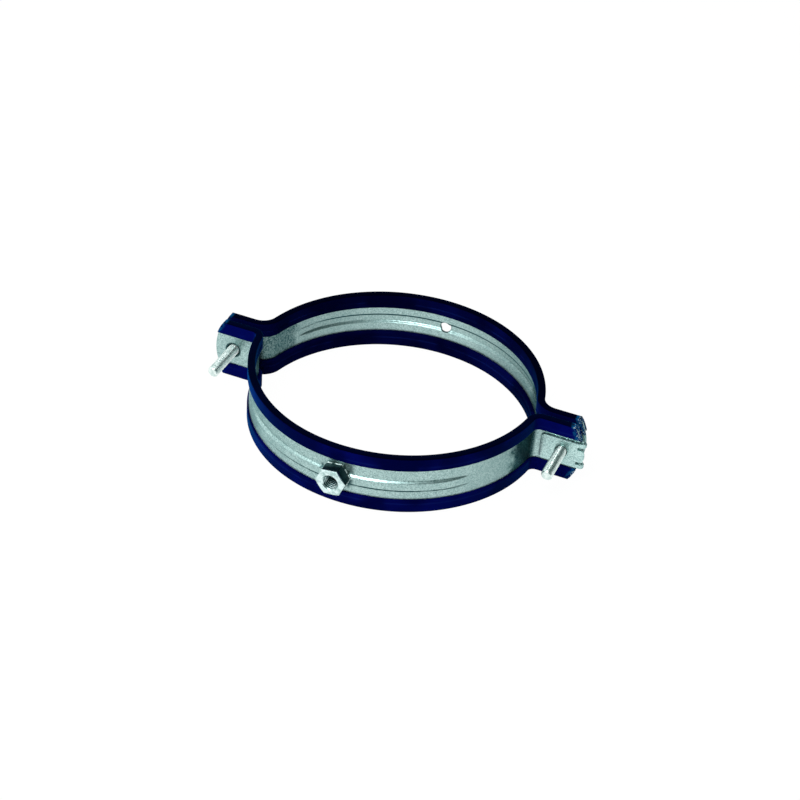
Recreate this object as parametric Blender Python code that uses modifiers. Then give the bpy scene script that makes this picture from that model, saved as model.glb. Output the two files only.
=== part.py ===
"""Two-half suspension clamp with rubber edge trims, closed by two screws. Metres, +Z along the pipe."""
import math

import bmesh
import bpy
from mathutils import Matrix, Vector

# Ring and band
BORE_RADIUS = 0.0750          # rubber face to the centre of its half's arc
FRONT_ARC_SHIFT = 0.0030      # each arc's centre lies this far beyond the split plane
REAR_ARC_SHIFT = 0.0070
BAND_THICKNESS = 0.0012
BAND_WIDTH = 0.0300
FRONT_BEND_RADIUS = 0.0035    # hollow side of the bend into the ear, on the rubber
REAR_BEND_RADIUS = 0.0080
EAR_FLAT = 0.0216             # flat of the front ear, from the bend to its end
EAR_END_RADIUS = 0.0300       # rounding of the ears' ends, seen from the front
EAR_GAP = 0.0034              # between the rubbers of the two halves as photographed

# Pressed bead along the middle of the band
BEAD_FOOT_WIDTH = 0.0074
BEAD_CROWN_WIDTH = 0.0048
BEAD_HEIGHT = 0.0013
BEAD_END_ANGLE = math.radians(64)
BEAD_RUNOUT_ANGLE = math.radians(12)
APEX_HOLE_DIAMETER = 0.0070

# Rubber trims
INNER_LIP = 0.0016
OUTER_LIP = 0.0008
EDGE_WEB = 0.0014             # rubber over the band's edge
INNER_LIP_DEPTH = 0.0089      # from the outside of the web
OUTER_LIP_FROM_WELD = 0.0003  # outer lip's edge, clear of the nut's weld
RUBBER_ROUNDING = 0.0006
RUBBER_SHORT = 0.0003         # cut end of a rubber, short of the ear's round end

# Suspension nut
NUT_FLATS = 0.0140
NUT_HEIGHT = 0.0065
NUT_BORE = 0.0068
NUT_COUNTERSINK = 0.0086
WELD_LEG = 0.0015
WELD_TOP = 0.0005             # weld's width at its top, beside the nut
HEX_FACE_SHARE = 0.94         # round face on a hexagon, as a share of its flats
HEX_CHAMFER_ANGLE = math.radians(30)

# Closing screws, washers and the hooked lock plate
SCREW_FROM_BEND = 0.0114      # screw axis, from the front bend along the ear
SCREW_DIAMETER = 0.0060
SCREW_LENGTH = 0.0350
SCREW_TIP_CHAMFER = 0.0007
HEAD_FLATS = 0.0100
HEAD_HEIGHT = 0.0040
SLOT_WIDTH = 0.0016
SLOT_DEPTH = 0.0018
WASHER_DIAMETER = 0.0120
WASHER_THICKNESS = 0.0016
THREAD_CLEARANCE = 0.0002     # on the radius, screw to the piece it is threaded in
PASSAGE_CLEARANCE = 0.0005    # on the radius, screw to the ear it passes through
COLLAR_DIAMETER = 0.0086      # drawn thread collar behind the left ear
COLLAR_LENGTH = 0.0022
COLLAR_ENTRY = 0.0012         # slope of the collar's mouth
PLATE_THICKNESS = 0.0012
PLATE_HEIGHT = 0.0150
PLATE_FROM_BEND = 0.0002
PLATE_CORNER = 0.0022
TONGUE_HEIGHT = 0.0072
NOTCH_HEIGHT = 0.0015
NOTCH_BEHIND_END = 0.0006     # root of the notches, inside the ear's end
HOOK_CLEARANCE = 0.0003
HOOK_OVERLAP = 0.0008         # shared by a tab and its hook
HOOK_RETURN = 0.0024
TONGUE_REACH = 0.0022         # tongue's tip past the ear's end
TONGUE_END_RADIUS = 0.0080

# Fits and mesh fineness
SEAT_GAP = 0.0002
CUT_MARGIN = 0.0030           # how far a cutter runs past what it cuts
MERGE_DISTANCE = 0.000001
ARC_STEPS = 34
BEND_STEPS = 6
ROUND_SIDES = 32
SLOT_STEPS = 15               # odd, so that no corner lies on the ear's middle line
HOOK_STEPS = 8
NOTCH_STEPS = 6
CORNER_STEPS = 5
TONGUE_STEPS = 3
ROUNDING_STEPS = 2
SHARP_ANGLE = math.radians(35)

# Worked out from the sizes above
HALF_BAND = BAND_THICKNESS / 2
BAND_RADIUS = BORE_RADIUS + INNER_LIP + SEAT_GAP + HALF_BAND
EAR_LINE = -(EAR_GAP / 2 + INNER_LIP + SEAT_GAP + HALF_BAND)
EAR_FRONT = EAR_LINE - HALF_BAND
EAR_BACK = EAR_LINE + HALF_BAND


class Half:
    """Shape of one half band, seen from above in front of the split plane."""

    def __init__(self, arc_shift, bend_radius):
        self.arc_shift = arc_shift
        self.bend_middle = bend_radius + OUTER_LIP + SEAT_GAP + HALF_BAND
        self.bend_y = EAR_LINE - self.bend_middle
        rise = arc_shift - self.bend_y
        self.bend_x = math.sqrt((BAND_RADIUS + self.bend_middle) ** 2 - rise ** 2)
        self.bend_angle = math.atan2(rise, self.bend_x)
        self.crown_y = arc_shift - BAND_RADIUS - HALF_BAND - BEAD_HEIGHT


FRONT = Half(FRONT_ARC_SHIFT, FRONT_BEND_RADIUS)
REAR = Half(REAR_ARC_SHIFT, REAR_BEND_RADIUS)
EAR_END = FRONT.bend_x + EAR_FLAT
SCREW_X = FRONT.bend_x + SCREW_FROM_BEND
RUBBER_TOP = BAND_WIDTH / 2 + SEAT_GAP + EDGE_WEB
OUTER_LIP_EDGE = NUT_FLATS / 2 + SEAT_GAP + WELD_LEG + OUTER_LIP_FROM_WELD
NUT_FOOT = FRONT.crown_y - SEAT_GAP
NUT_FACE = NUT_FOOT - NUT_HEIGHT
WASHER_Y = -EAR_FRONT + SEAT_GAP
HEAD_Y = WASHER_Y + WASHER_THICKNESS + SEAT_GAP
THREAD_RADIUS = SCREW_DIAMETER / 2 + THREAD_CLEARANCE
PASSAGE_RADIUS = SCREW_DIAMETER / 2 + PASSAGE_CLEARANCE
PLATE_BACK = EAR_FRONT - SEAT_GAP
PLATE_FRONT = PLATE_BACK - PLATE_THICKNESS
HOOK_X = EAR_END + HOOK_CLEARANCE
TONGUE_END = EAR_END + TONGUE_REACH
HOOK_END = HOOK_X + HALF_BAND + SEAT_GAP + PLATE_THICKNESS

ALONG_Y = Matrix.Rotation(-math.pi / 2, 4, "X")       # a piece's own +Z to the back
FACING_OUT = Matrix.Rotation(math.pi / 2, 4, "X")     # a piece's own +Z to the front
HALF_SIDE = Matrix.Rotation(math.pi / ROUND_SIDES, 4, "Z")    # no corner of a hole on the band's middle line


def clear_scene():
    for obj in list(bpy.data.objects):
        bpy.data.objects.remove(obj, do_unlink=True)


def collection(name):
    made = bpy.data.collections.new(name)
    bpy.context.scene.collection.children.link(made)
    return made


def material(name, colour, roughness, metallic):
    made = bpy.data.materials.new(name)
    made.use_nodes = True
    shader = made.node_tree.nodes["Principled BSDF"]
    shader.inputs["Base Color"].default_value = (*colour, 1)
    shader.inputs["Roughness"].default_value = roughness
    shader.inputs["Metallic"].default_value = metallic
    return made


clear_scene()
PARTS = collection("suspension_clamp")
CUTTERS = collection("cutters")
ZINC = material("galvanised_sheet", (0.58, 0.63, 0.60), 0.42, 0.9)
PLATED = material("zinc_plated_fastener", (0.72, 0.76, 0.75), 0.28, 1.0)
WELDED = material("weld_metal", (0.30, 0.32, 0.31), 0.6, 0.8)
RUBBER = material("navy_rubber", (0.006, 0.010, 0.060), 0.5, 0.0)
ORIGIN = bpy.data.objects.new("clamp_origin", None)
ORIGIN.location = (-(HOOK_END - EAR_END) / 2, -(NUT_FACE - REAR.crown_y) / 2, RUBBER_TOP)
REAR_HALF = bpy.data.objects.new("rear_half", None)
REAR_HALF.parent = ORIGIN
for guide in (ORIGIN, REAR_HALF):
    PARTS.objects.link(guide)


def add_object(name, data, finish=None, parent=None):
    """A part where a finish is given, and otherwise a cutter that stays out of the model."""
    obj = bpy.data.objects.new(name, data)
    if finish:
        PARTS.objects.link(obj)
        if not data.materials:
            data.materials.append(finish)
    else:
        CUTTERS.objects.link(obj)
        obj.hide_render = True
        obj.display_type = "WIRE"
    obj.parent = parent
    return obj


def as_part(obj, finish):
    """Turns a cutter into a part of the model."""
    CUTTERS.objects.unlink(obj)
    PARTS.objects.link(obj)
    obj.hide_render = False
    obj.display_type = "TEXTURED"
    obj.data.materials.append(finish)
    obj.parent = ORIGIN


def mesh_from(bm, name):
    mesh = bpy.data.meshes.new(name)
    bm.to_mesh(mesh)
    bm.free()
    return mesh


def boolean(obj, operation, other):
    step = obj.modifiers.new(operation.lower() + "_" + other.name, "BOOLEAN")
    step.operation = operation
    step.object = other


def cone_mesh(name, low_radius, high_radius, low, high, sides, turn=0.0):
    """Round or many-sided solid along +Z, from low to high."""
    bm = bmesh.new()
    place = Matrix.Translation((0, 0, (low + high) / 2)) @ Matrix.Rotation(turn, 4, "Z")
    bmesh.ops.create_cone(bm, cap_ends=True, segments=sides, radius1=low_radius, radius2=high_radius,
                          depth=high - low, matrix=place)
    return mesh_from(bm, name)


def cross_cutter(name, x, radius, low_y, high_y):
    """Round cutter along Y."""
    mesh = cone_mesh(name, radius, radius, low_y, high_y, ROUND_SIDES)
    cutter = add_object(name, mesh, parent=ORIGIN)
    cutter.matrix_local = Matrix.Translation((x, 0, 0)) @ ALONG_Y @ HALF_SIDE
    return cutter


def box_cutter(name, low, high):
    bm = bmesh.new()
    bmesh.ops.create_cube(bm, size=1.0)
    size = Vector(high) - Vector(low)
    bmesh.ops.transform(bm, matrix=Matrix.Diagonal((*size, 1)), verts=bm.verts)
    bmesh.ops.translate(bm, vec=(Vector(low) + Vector(high)) / 2, verts=bm.verts)
    return add_object(name, mesh_from(bm, name), parent=ORIGIN)


def turned(name, profile, finish=None, closed=False):
    """Solid turned about its own Z. The profile runs down its outer side, top to bottom."""
    count = len(profile)
    edges = [(i, (i + 1) % count) for i in range(count if closed else count - 1)]
    mesh = bpy.data.meshes.new(name)
    mesh.from_pydata([(x, 0, z) for x, z in profile], edges, [])
    obj = add_object(name, mesh, finish)
    spin = obj.modifiers.new("turn", "SCREW")
    spin.axis = "Z"
    spin.steps = ROUND_SIDES
    spin.render_steps = ROUND_SIDES
    spin.use_merge_vertices = True
    spin.merge_threshold = MERGE_DISTANCE
    return obj


def made_mesh(curve_object):
    """Mesh of a curve object with its caps welded on. The curve is removed."""
    bpy.context.view_layer.update()
    shape = curve_object.evaluated_get(bpy.context.evaluated_depsgraph_get())
    mesh = bpy.data.meshes.new_from_object(shape)
    mesh.name = curve_object.name
    bm = bmesh.new()
    bm.from_mesh(mesh)
    bmesh.ops.remove_doubles(bm, verts=bm.verts, dist=MERGE_DISTANCE)
    bmesh.ops.recalc_face_normals(bm, faces=bm.faces)
    bm.to_mesh(mesh)
    bm.free()
    bpy.data.objects.remove(curve_object, do_unlink=True)
    return mesh


def line_curve(name, points, closed, dimensions):
    data = bpy.data.curves.new(name, "CURVE")
    data.dimensions = dimensions
    spline = data.splines.new("POLY")
    spline.points.add(len(points) - 1)
    for place, (x, y) in zip(spline.points, points):
        place.co = (x, y, 0, 1)
    spline.use_cyclic_u = closed
    return data


def flat_outline(name, points, thickness):
    """Mesh of a flat outline, with half its thickness on each side of its own XY plane."""
    data = line_curve(name, points, True, "2D")
    data.fill_mode = "BOTH"
    data.extrude = thickness / 2
    return made_mesh(add_object(name, data))


def arc(centre, radius, start, end, steps):
    angles = [start + (end - start) * i / steps for i in range(steps + 1)]
    return [(centre[0] + radius * math.cos(a), centre[1] + radius * math.sin(a)) for a in angles]


def half_line(half, reach):
    """Points along the middle of a half band, as far as its ears reach, with their outward directions."""
    left = [((-reach, EAR_LINE), (0, -1))]
    for step in range(BEND_STEPS):
        a = math.pi / 2 - (math.pi / 2 - half.bend_angle) * step / BEND_STEPS
        out = (-math.cos(a), -math.sin(a))
        bend = (-half.bend_x - half.bend_middle * out[0], half.bend_y - half.bend_middle * out[1])
        left.append((bend, out))
    ring = []
    for step in range(ARC_STEPS + 1):
        a = math.pi + half.bend_angle + (math.pi - 2 * half.bend_angle) * step / ARC_STEPS
        out = (math.cos(a), math.sin(a))
        ring.append(((BAND_RADIUS * out[0], half.arc_shift + BAND_RADIUS * out[1]), out))
    right = [((-x, y), (-out_x, out_y)) for (x, y), (out_x, out_y) in reversed(left)]
    return left + ring + right


def rounded_end(x, z):
    """Draws a point at an ear's end in, by the end's rounding at its height."""
    return x - math.copysign(EAR_END_RADIUS - math.sqrt(EAR_END_RADIUS ** 2 - z ** 2), x)


def bead_rise(out):
    """Share of the bead's full height where the band faces this way: none on the ears and bends."""
    from_apex = math.atan2(abs(out[0]), -out[1])
    share = (BEAD_END_ANGLE - from_apex) / BEAD_RUNOUT_ANGLE
    share = min(max(share, 0.0), 1.0)
    return share * share * (3 - 2 * share)


def band_mesh(half):
    """Sheet of the half band: sections lofted from the flat ears to the beaded ring."""
    edge = BAND_WIDTH / 2
    section = [(-edge, 0), (-BEAD_FOOT_WIDTH / 2, 0), (-BEAD_CROWN_WIDTH / 2, BEAD_HEIGHT), (0, BEAD_HEIGHT)]
    middle = (edge + BEAD_FOOT_WIDTH / 2) / 2
    section.insert(1, (-middle, 0))
    section += [(-z, rise) for z, rise in reversed(section[:-1])]
    line = half_line(half, EAR_END)
    last = len(line) - 1
    bm = bmesh.new()
    rows = []
    for index, ((x, y), out) in enumerate(line):
        on_ear = index in (0, last)
        share = 0.0 if on_ear or abs(x) > half.bend_x - half.bend_middle else bead_rise(out)
        row = []
        for z, rise in section:
            place_x = rounded_end(x, z) if on_ear else x
            lift = rise * share
            row.append(bm.verts.new((place_x + lift * out[0], y + lift * out[1], z)))
        rows.append(row)
    for row, following in zip(rows, rows[1:]):
        for k in range(len(section) - 1):
            bm.faces.new((row[k], following[k], following[k + 1], row[k + 1]))
    return mesh_from(bm, "half_band")


def thicken(obj, outward, inward):
    """Gives a sheet its wall, measured from the middle of the band."""
    wall = obj.modifiers.new("sheet", "SOLIDIFY")
    wall.thickness = outward + inward
    wall.offset = (outward - inward) / (outward + inward)
    wall.use_even_offset = True
    wall.use_quality_normals = True


def half_band(name, sheet, parent, turn):
    obj = add_object(name, sheet, ZINC, parent)
    obj.rotation_euler.z = turn
    thicken(obj, HALF_BAND, HALF_BAND)
    return obj


def rounded_corner(corner, start, end):
    """Arc about an outer corner of the rubber's section, from one direction to another."""
    centre = (corner[0] - math.copysign(RUBBER_ROUNDING, corner[0]), corner[1] - RUBBER_ROUNDING)
    return arc(centre, RUBBER_ROUNDING, start, end, ROUNDING_STEPS)


def rubber_mesh(name, half):
    """U-section trim of the upper edge, drawn along the half band and cut with its ears' round ends."""
    slot = HALF_BAND + SEAT_GAP
    outer = slot + OUTER_LIP
    inner = -slot - INNER_LIP
    slot_top = BAND_WIDTH / 2 + SEAT_GAP
    section = [(slot, OUTER_LIP_EDGE), (outer, OUTER_LIP_EDGE)]
    section += rounded_corner((outer, RUBBER_TOP), 0, math.pi / 2)
    section += rounded_corner((inner, RUBBER_TOP), math.pi / 2, math.pi)
    section += [(inner, RUBBER_TOP - INNER_LIP_DEPTH), (-slot, RUBBER_TOP - INNER_LIP_DEPTH)]
    section += [(-slot, slot_top), (slot, slot_top)]
    profile = add_object("rubber_section", line_curve("rubber_section", section, True, "2D"))
    reach = EAR_END - RUBBER_SHORT
    line = [point for point, out in half_line(half, reach)]
    data = line_curve("rubber_line", line, False, "3D")
    data.twist_mode = "Z_UP"
    data.bevel_mode = "OBJECT"
    data.bevel_object = profile
    data.use_fill_caps = True
    mesh = made_mesh(add_object(name, data))
    bpy.data.objects.remove(profile, do_unlink=True)
    for vertex in mesh.vertices:
        if abs(vertex.co.x) > reach - MERGE_DISTANCE:
            vertex.co.x = rounded_end(vertex.co.x, vertex.co.z)
    return mesh


def chamfered_hex(name, flats, height):
    """Hexagon along its own +Z, turned down at 30 degrees round its top face."""
    corner = flats / math.sqrt(3)
    obj = add_object(name, cone_mesh(name, corner, corner, 0, height, 6, math.pi / 6))
    top_radius = flats / 2 * HEX_FACE_SHARE
    wide = top_radius + height / math.tan(HEX_CHAMFER_ANGLE)
    limit = turned(name + "_turning", [(0, height), (top_radius, height), (wide, 0), (0, 0)])
    limit.parent = obj
    boolean(obj, "INTERSECT", limit)
    return obj


def make_connection_nut():
    """Weld nut on the bead's crown, its thread facing out."""
    nut = chamfered_hex("connection_nut", NUT_FLATS, NUT_HEIGHT)
    as_part(nut, PLATED)
    nut.matrix_local = Matrix.Translation((0, NUT_FOOT, 0)) @ FACING_OUT
    bore, mouth = NUT_BORE / 2, NUT_COUNTERSINK / 2
    top = NUT_HEIGHT + CUT_MARGIN
    profile = [(0, top), (mouth + CUT_MARGIN, top), (bore, NUT_HEIGHT - mouth + bore), (bore, -CUT_MARGIN)]
    hole = turned("nut_bore", profile + [(0, -CUT_MARGIN)])
    hole.parent = nut
    boolean(nut, "DIFFERENCE", hole)


def make_nut_weld(sheet):
    """Weld round the nut's foot, down to the flats beside the bead."""
    to_corner = 2 / math.sqrt(3)
    nut_side = NUT_FLATS / 2 + SEAT_GAP
    root = -SEAT_GAP - BEAD_HEIGHT - HALF_BAND
    low = (nut_side + WELD_LEG) * to_corner
    high = (nut_side + WELD_TOP) * to_corner
    mesh = cone_mesh("nut_weld", low, high, root, WELD_LEG, 6, math.pi / 6)
    weld = add_object("nut_weld", mesh, WELDED, ORIGIN)
    weld.matrix_local = Matrix.Translation((0, NUT_FOOT, 0)) @ FACING_OUT
    side = nut_side * to_corner
    mesh = cone_mesh("nut_space", side, side, root - CUT_MARGIN, WELD_LEG + CUT_MARGIN, 6, math.pi / 6)
    boolean(weld, "DIFFERENCE", add_object("nut_space", mesh, parent=weld))
    space = add_object("band_space", sheet, parent=ORIGIN)
    thicken(space, HALF_BAND + SEAT_GAP, HALF_BAND + BEAD_HEIGHT)
    boolean(weld, "DIFFERENCE", space)


def make_closing_screw(name, x):
    """Slotted hexagon screw, head at the back, its axis on the object's own Z."""
    radius = SCREW_DIAMETER / 2
    tip = radius - SCREW_TIP_CHAMFER
    profile = [(0, HEAD_HEIGHT / 2), (radius, HEAD_HEIGHT / 2), (radius, SCREW_TIP_CHAMFER - SCREW_LENGTH)]
    screw = turned(name, profile + [(tip, -SCREW_LENGTH), (0, -SCREW_LENGTH)], PLATED)
    screw.parent = REAR_HALF
    screw.matrix_local = Matrix.Translation((x, HEAD_Y, 0)) @ ALONG_Y
    head = chamfered_hex(name + "_head", HEAD_FLATS, HEAD_HEIGHT)
    head.parent = screw
    boolean(screw, "UNION", head)
    far = HEAD_FLATS
    slot = box_cutter(name + "_slot", (-far, -SLOT_WIDTH / 2, HEAD_HEIGHT - SLOT_DEPTH),
                      (far, SLOT_WIDTH / 2, HEAD_HEIGHT + CUT_MARGIN))
    slot.parent = screw
    boolean(screw, "DIFFERENCE", slot)


def make_washer(name, x):
    outer, inner = WASHER_DIAMETER / 2, PASSAGE_RADIUS
    profile = [(outer, WASHER_THICKNESS), (outer, 0), (inner, 0), (inner, WASHER_THICKNESS)]
    washer = turned(name, profile, PLATED, closed=True)
    washer.parent = REAR_HALF
    washer.matrix_local = Matrix.Translation((x, WASHER_Y, 0)) @ ALONG_Y


def plate_outline():
    """Lock plate seen from the front: round corners, two tabs and a tongue between round notches."""
    half, tongue = PLATE_HEIGHT / 2, TONGUE_HEIGHT / 2
    near = FRONT.bend_x + PLATE_FROM_BEND + PLATE_CORNER
    notch = NOTCH_HEIGHT / 2
    root = (EAR_END - NOTCH_BEHIND_END + notch, tongue + notch)
    lean = math.asin(tongue / TONGUE_END_RADIUS)
    upper = arc((TONGUE_END - TONGUE_END_RADIUS, 0), TONGUE_END_RADIUS, 0, lean, TONGUE_STEPS)
    upper += arc(root, notch, 1.5 * math.pi, 0.5 * math.pi, NOTCH_STEPS)
    upper += [(HOOK_X, tongue + NOTCH_HEIGHT), (HOOK_X, half)]
    upper += arc((near, half - PLATE_CORNER), PLATE_CORNER, math.pi / 2, math.pi, CORNER_STEPS)
    return upper + [(x, -z) for x, z in reversed(upper[1:])]


def hook_outline():
    """Tab of the lock plate seen from above: round the ear's end and back behind the ear."""
    inner = HALF_BAND + SEAT_GAP
    outer = inner + PLATE_THICKNESS
    centre = (HOOK_X, EAR_LINE)
    quarter = math.pi / 2
    outline = [(HOOK_X - HOOK_OVERLAP, EAR_LINE - outer)]
    outline += arc(centre, outer, -quarter, quarter, HOOK_STEPS)
    outline += [(HOOK_X - HOOK_RETURN, EAR_LINE + outer), (HOOK_X - HOOK_RETURN, EAR_LINE + inner)]
    outline += arc(centre, inner, quarter, -quarter, HOOK_STEPS)
    return outline + [(HOOK_X - HOOK_OVERLAP, EAR_LINE - inner)]


def make_lock_plate():
    """Threaded plate on the right ear, which two hooked tabs hold at the ear's end."""
    mesh = flat_outline("lock_plate", plate_outline(), PLATE_THICKNESS)
    plate = add_object("lock_plate", mesh, ZINC, ORIGIN)
    plate.matrix_local = Matrix.Translation((0, (PLATE_FRONT + PLATE_BACK) / 2, 0)) @ FACING_OUT
    tab_low = TONGUE_HEIGHT / 2 + NOTCH_HEIGHT
    tab_high = PLATE_HEIGHT / 2
    mesh = flat_outline("plate_hook", hook_outline(), tab_high - tab_low)
    for place, side in (("upper", 1), ("lower", -1)):
        hook = add_object(place + "_hook", mesh, parent=ORIGIN)
        hook.location.z = side * (tab_low + tab_high) / 2
        boolean(plate, "UNION", hook)
    front, back = PLATE_FRONT - CUT_MARGIN, PLATE_BACK + CUT_MARGIN
    boolean(plate, "DIFFERENCE", cross_cutter("plate_thread", SCREW_X, THREAD_RADIUS, front, back))


def make_front_band(sheet):
    """Half band with the nut: drawn thread collar in the left ear, open slot in the right ear."""
    band = half_band("front_band", sheet, ORIGIN, 0)
    mesh = cone_mesh("thread_collar", COLLAR_DIAMETER / 2, COLLAR_DIAMETER / 2, EAR_LINE,
                     EAR_BACK + COLLAR_LENGTH, ROUND_SIDES)
    collar = add_object("thread_collar", mesh, parent=ORIGIN)
    left_axis = Matrix.Translation((-SCREW_X, 0, 0)) @ ALONG_Y @ HALF_SIDE
    collar.matrix_local = left_axis
    boolean(band, "UNION", collar)
    front, back = EAR_FRONT - CUT_MARGIN, EAR_BACK + COLLAR_LENGTH + CUT_MARGIN
    mouth = THREAD_RADIUS + COLLAR_ENTRY + CUT_MARGIN
    profile = [(0, back), (THREAD_RADIUS, back), (THREAD_RADIUS, EAR_FRONT + COLLAR_ENTRY), (mouth, front)]
    thread = turned("collar_thread", profile + [(0, front)])
    thread.parent = ORIGIN
    thread.matrix_local = left_axis
    boolean(band, "DIFFERENCE", thread)
    open_end = EAR_END + CUT_MARGIN
    outline = arc((SCREW_X, 0), PASSAGE_RADIUS, math.pi / 2, 1.5 * math.pi, SLOT_STEPS)
    outline += [(open_end, -PASSAGE_RADIUS), (open_end, PASSAGE_RADIUS)]
    mesh = flat_outline("ear_slot", outline, BAND_THICKNESS + 2 * CUT_MARGIN)
    slot = add_object("ear_slot", mesh, parent=ORIGIN)
    slot.matrix_local = Matrix.Translation((0, EAR_LINE, 0)) @ FACING_OUT
    boolean(band, "DIFFERENCE", slot)
    front, back = FRONT.crown_y - CUT_MARGIN, FRONT.crown_y + BAND_THICKNESS + CUT_MARGIN
    boolean(band, "DIFFERENCE", cross_cutter("front_apex", 0, APEX_HOLE_DIAMETER / 2, front, back))


def make_rear_band(sheet):
    """Shallower half band, turned round, with a passage for a screw in each ear."""
    band = half_band("rear_band", sheet, REAR_HALF, math.pi)
    front, back = -EAR_BACK - CUT_MARGIN, -EAR_FRONT + CUT_MARGIN
    for place, x in (("left", -SCREW_X), ("right", SCREW_X)):
        hole = cross_cutter(place + "_passage", x, PASSAGE_RADIUS, front, back)
        boolean(band, "DIFFERENCE", hole)
    front, back = -REAR.crown_y - BAND_THICKNESS - CUT_MARGIN, -REAR.crown_y + CUT_MARGIN
    boolean(band, "DIFFERENCE", cross_cutter("rear_apex", 0, APEX_HOLE_DIAMETER / 2, front, back))


def make_rubbers():
    """One trim for each half, laid on its upper and its lower edge."""
    for place, half, parent, turn in (("front", FRONT, ORIGIN, 0), ("rear", REAR, REAR_HALF, math.pi)):
        trim = rubber_mesh(place + "_trim", half)
        under = trim.copy()
        under.transform(Matrix.Diagonal((1, 1, -1, 1)))
        under.flip_normals()
        for edge, mesh in (("upper", trim), ("lower", under)):
            rubber = add_object(place + "_" + edge + "_rubber", mesh, RUBBER, parent)
            rubber.rotation_euler.z = turn


def shade_round():
    for part in PARTS.objects:
        if part.type == "MESH":
            part.data.shade_smooth()
            part.data.set_sharp_from_angle(angle=SHARP_ANGLE)


def main():
    sheet = band_mesh(FRONT)
    make_front_band(sheet)
    make_rear_band(band_mesh(REAR))
    make_rubbers()
    make_connection_nut()
    make_nut_weld(sheet.copy())
    make_lock_plate()
    for place, x in (("left", -SCREW_X), ("right", SCREW_X)):
        make_closing_screw(place + "_screw", x)
        make_washer(place + "_washer", x)
    shade_round()


main()
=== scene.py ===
"""Looks of a two-half suspension clamp: galvanised bands, navy rubber trims, threaded fasteners. Metres."""
import math

import bmesh
import bpy
from mathutils import Matrix, Vector


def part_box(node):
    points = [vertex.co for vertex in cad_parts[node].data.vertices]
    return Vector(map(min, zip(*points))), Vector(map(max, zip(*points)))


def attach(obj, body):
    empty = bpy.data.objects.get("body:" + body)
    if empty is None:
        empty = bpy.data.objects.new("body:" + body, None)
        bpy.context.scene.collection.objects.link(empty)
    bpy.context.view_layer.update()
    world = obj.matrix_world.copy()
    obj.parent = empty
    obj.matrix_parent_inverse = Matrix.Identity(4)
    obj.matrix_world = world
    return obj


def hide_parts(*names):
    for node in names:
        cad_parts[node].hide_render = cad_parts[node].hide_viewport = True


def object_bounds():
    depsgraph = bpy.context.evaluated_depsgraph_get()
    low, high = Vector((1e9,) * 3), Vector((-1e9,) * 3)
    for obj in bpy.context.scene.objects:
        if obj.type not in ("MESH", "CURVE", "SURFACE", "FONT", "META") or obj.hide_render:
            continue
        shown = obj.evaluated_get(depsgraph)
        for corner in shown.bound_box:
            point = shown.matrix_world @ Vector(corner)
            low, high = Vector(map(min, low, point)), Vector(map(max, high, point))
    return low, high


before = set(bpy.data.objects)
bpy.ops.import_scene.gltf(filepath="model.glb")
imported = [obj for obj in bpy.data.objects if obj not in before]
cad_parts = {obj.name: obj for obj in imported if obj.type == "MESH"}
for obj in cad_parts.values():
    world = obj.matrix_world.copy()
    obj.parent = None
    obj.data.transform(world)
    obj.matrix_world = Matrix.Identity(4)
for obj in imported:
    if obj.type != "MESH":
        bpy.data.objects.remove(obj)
CAD_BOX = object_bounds()

# Bands and their bead
BAND_RADIUS = 0.0774          # middle of the sheet, about its half's arc
FRONT_ARC_SHIFT = 0.0030      # each arc's centre lies this far beyond the split plane
REAR_ARC_SHIFT = 0.0070
FRONT_BEND = 0.0051           # middle of the sheet in the bend into an ear
REAR_BEND = 0.0096
BAND_THICKNESS = 0.0012
BAND_WIDTH = 0.0300
EAR_END_RADIUS = 0.0300       # rounding of the ears' ends, seen from the front
SHEET_EDGE = 0.00018          # broken edge of the cut sheet
BEAD_HEIGHT = 0.0012
BEAD_RUNOUT = math.radians(15)
# A bead's width at its foot and its crown, the height of its middle, and its end from the apex
FRONT_BEAD = (0.0062, 0.0040, -0.0006, math.radians(54))
REAR_BEAD = (0.0052, 0.0032, -0.0001, math.radians(68))
ROD_HOLE = 0.0070
REAR_HOLE = 0.0063

# Rubber trims
INNER_LIP = 0.0016
OUTER_LIP = 0.0008
LIP_GAP = 0.00005
WEB = 0.0014
INNER_LIP_DEPTH = 0.0089
OUTER_LIP_DEPTH = 0.0076
TRIM_ROUNDING = 0.0006
INNER_LIP_ROUNDING = 0.0012
OUTER_LIP_ROUNDING = 0.0005
RIB_GROOVE = 0.00022          # depth of the grooves on both sides of the inner lip's fine rib
RIB_WIDTH = 0.0008
RIB_FROM_TOP = 0.0052
CUT_LENGTH = 0.0042           # stretch of a trim that its rough cut reaches
TRIM_PROUD = 0.0003           # cut end of a trim, past the ear's round end
CUT_STEPS = (0.0, 0.0003, 0.0007, 0.0012, 0.0018, 0.0026, 0.0036)
CRUMBLE = 0.0007              # how far the cut strays
CRUMBLE_ACROSS = 0.3          # share of it across the lips, which nearly meet when the clamp is shut
TRIM_WAVER = 0.00008

# Nut and weld
NUT_FLATS = 0.0140
HEX_FACE_SHARE = 0.96
HEX_CHAMFER = math.radians(20)
HEX_EDGE = 0.00018
NUT_TURN = math.radians(7.5)  # as welded, off level
ROD_THREAD = 0.0080
ROD_PITCH = 0.00125
ROD_THREAD_DEPTH = 0.0006
COUNTERSINK = 0.0090
SLEEVE_WALL = 0.0002          # of the tapped sleeve, past the plain hole that it is set in
SLEEVE_INSET = 0.00003
WELD_SIZE = 0.00075
WELD_SPACING = 0.0009
WELD_VOXEL = 0.00014
WELD_POINTS = 60

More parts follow.
